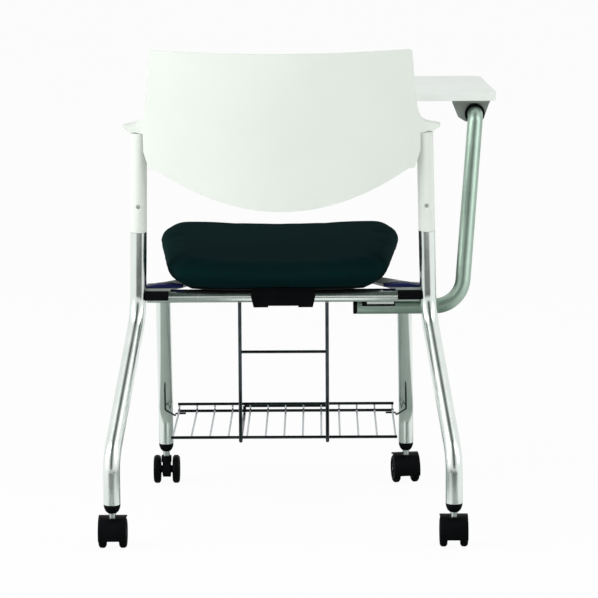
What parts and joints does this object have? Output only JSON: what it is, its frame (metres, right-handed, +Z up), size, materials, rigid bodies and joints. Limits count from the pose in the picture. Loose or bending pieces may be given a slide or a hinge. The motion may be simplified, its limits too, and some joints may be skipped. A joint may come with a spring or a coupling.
{
  "type": "nesting chair",
  "caption": "Stackable training chair on casters: padded seat that flips up about a cross tube, curved back shell, swinging writing tablet on a side arm, wire book basket",
  "frame": {"origin": "on the floor, under the middle of the bounding box", "axes": "+Z up, -Y the way the sitter faces, +X the sitter's left"},
  "size_m": [0.6566, 0.6186, 0.7928],
  "materials": {
    "silver_tube": "satin silver plated steel tube",
    "chrome_wire": "bright chromed wire",
    "cast_grey": "grey painted casting",
    "white_plastic": "fine satin moulded plastic",
    "black_plastic": "satin moulded plastic",
    "caster_wheel": "hard nylon tread",
    "rubber_pad": "matt rubber",
    "seat_fabric": "dark woven upholstery",
    "tablet_board": "smooth white writing surface",
    "steel_pin": "plated steel"
  },
  "bodies": {
    "frame": {"arm_clamp_plate": "steel_pin", "arm_end_cap": "black_plastic", "arm_saddle": "black_plastic", "arm_tube": "silver_tube", "back_shell": "white_plastic", "basket_hanger": "chrome_wire", "basket_hook_left": "chrome_wire", "basket_hook_right": "chrome_wire", "book_basket": "chrome_wire", "bracket_cap_left": "black_plastic", "bracket_cap_right": "black_plastic", "bracket_cover_left": "black_plastic", "bracket_cover_right": "black_plastic", "cross_tube": "silver_tube", "front_leg_left": "silver_tube", "front_leg_right": "silver_tube", "leg_plug_front_left": "black_plastic", "leg_plug_front_right": "black_plastic", "leg_plug_rear_left": "black_plastic", "leg_plug_rear_right": "black_plastic", "pivot_bush": "black_plastic", "pivot_pin": "steel_pin", "rear_leg_left": "silver_tube", "rear_leg_right": "silver_tube", "seat_bracket_left": "cast_grey", "seat_bracket_right": "cast_grey", "seat_buffer_left": "rubber_pad", "seat_buffer_right": "rubber_pad", "sleeve_screw_left": "steel_pin", "sleeve_screw_right": "steel_pin", "upright_sleeve_left": "white_plastic", "upright_sleeve_right": "white_plastic"},
    "seat": {"hinge_block": "black_plastic", "hinge_bolt_left": "steel_pin", "hinge_bolt_right": "steel_pin", "hinge_cap": "black_plastic", "seat_cushion": "seat_fabric", "seat_pan": "black_plastic"},
    "tablet": {"tablet_board": "tablet_board", "tablet_bracket": "cast_grey", "tablet_screw_inner": "steel_pin", "tablet_screw_outer": "steel_pin"},
    "caster_rear_left": {"caster_housing_rear_left": "black_plastic", "caster_axle_rear_left": "steel_pin"},
    "wheel_a_rear_left": {"caster_wheel_a_rear_left": "caster_wheel"},
    "wheel_b_rear_left": {"caster_wheel_b_rear_left": "caster_wheel"},
    "caster_rear_right": {"caster_housing_rear_right": "black_plastic", "caster_axle_rear_right": "steel_pin"},
    "wheel_a_rear_right": {"caster_wheel_a_rear_right": "caster_wheel"},
    "wheel_b_rear_right": {"caster_wheel_b_rear_right": "caster_wheel"},
    "caster_front_left": {"caster_housing_front_left": "black_plastic", "caster_axle_front_left": "steel_pin"},
    "wheel_a_front_left": {"caster_wheel_a_front_left": "caster_wheel"},
    "wheel_b_front_left": {"caster_wheel_b_front_left": "caster_wheel"},
    "caster_front_right": {"caster_housing_front_right": "black_plastic", "caster_axle_front_right": "steel_pin"},
    "wheel_a_front_right": {"caster_wheel_a_front_right": "caster_wheel"},
    "wheel_b_front_right": {"caster_wheel_b_front_right": "caster_wheel"}
  },
  "joints": [
    {"name": "seat_flip", "type": "hinge", "parent": "frame", "child": "seat", "pos_m": [0.0307, 0.08873, 0.37779], "axis": [-1, 0, 0], "range_deg": [0, 78]},
    {"name": "tablet_flip", "type": "hinge", "parent": "frame", "child": "tablet", "pos_m": [-0.2923, -0.04627, 0.66579], "axis": [0, -1, 0], "range_deg": [0, 100]},
    {"name": "swivel_rear_left", "type": "hinge", "parent": "frame", "child": "caster_rear_left", "pos_m": [0.3057, 0.28873, 0.06979], "axis": [0, 0, 1], "continuous": true},
    {"name": "roll_a_rear_left", "type": "hinge", "parent": "caster_rear_left", "child": "wheel_a_rear_left", "pos_m": [0.3223, 0.28073, 0.02479], "axis": [1, 0, 0], "continuous": true},
    {"name": "roll_b_rear_left", "type": "hinge", "parent": "caster_rear_left", "child": "wheel_b_rear_left", "pos_m": [0.2891, 0.28073, 0.02479], "axis": [1, 0, 0], "continuous": true},
    {"name": "swivel_rear_right", "type": "hinge", "parent": "frame", "child": "caster_rear_right", "pos_m": [-0.2443, 0.28873, 0.06979], "axis": [0, 0, 1], "continuous": true},
    {"name": "roll_a_rear_right", "type": "hinge", "parent": "caster_rear_right", "child": "wheel_a_rear_right", "pos_m": [-0.2277, 0.28073, 0.02479], "axis": [1, 0, 0], "continuous": true},
    {"name": "roll_b_rear_right", "type": "hinge", "parent": "caster_rear_right", "child": "wheel_b_rear_right", "pos_m": [-0.2609, 0.28073, 0.02479], "axis": [1, 0, 0], "continuous": true},
    {"name": "swivel_front_left", "type": "hinge", "parent": "frame", "child": "caster_front_left", "pos_m": [0.2417, -0.14327, 0.06979], "axis": [0, 0, 1], "continuous": true},
    {"name": "roll_a_front_left", "type": "hinge", "parent": "caster_front_left", "child": "wheel_a_front_left", "pos_m": [0.2583, -0.15127, 0.02479], "axis": [1, 0, 0], "continuous": true},
    {"name": "roll_b_front_left", "type": "hinge", "parent": "caster_front_left", "child": "wheel_b_front_left", "pos_m": [0.2251, -0.15127, 0.02479], "axis": [1, 0, 0], "continuous": true},
    {"name": "swivel_front_right", "type": "hinge", "parent": "frame", "child": "caster_front_right", "pos_m": [-0.1803, -0.14327, 0.06979], "axis": [0, 0, 1], "continuous": true},
    {"name": "roll_a_front_right", "type": "hinge", "parent": "caster_front_right", "child": "wheel_a_front_right", "pos_m": [-0.16275, -0.14888, 0.02479], "axis": [0.9903, 0.1392, 0], "continuous": true},
    {"name": "roll_b_front_right", "type": "hinge", "parent": "caster_front_right", "child": "wheel_b_front_right", "pos_m": [-0.19563, -0.1535, 0.02479], "axis": [0.9903, 0.1392, 0], "continuous": true}
  ]
}
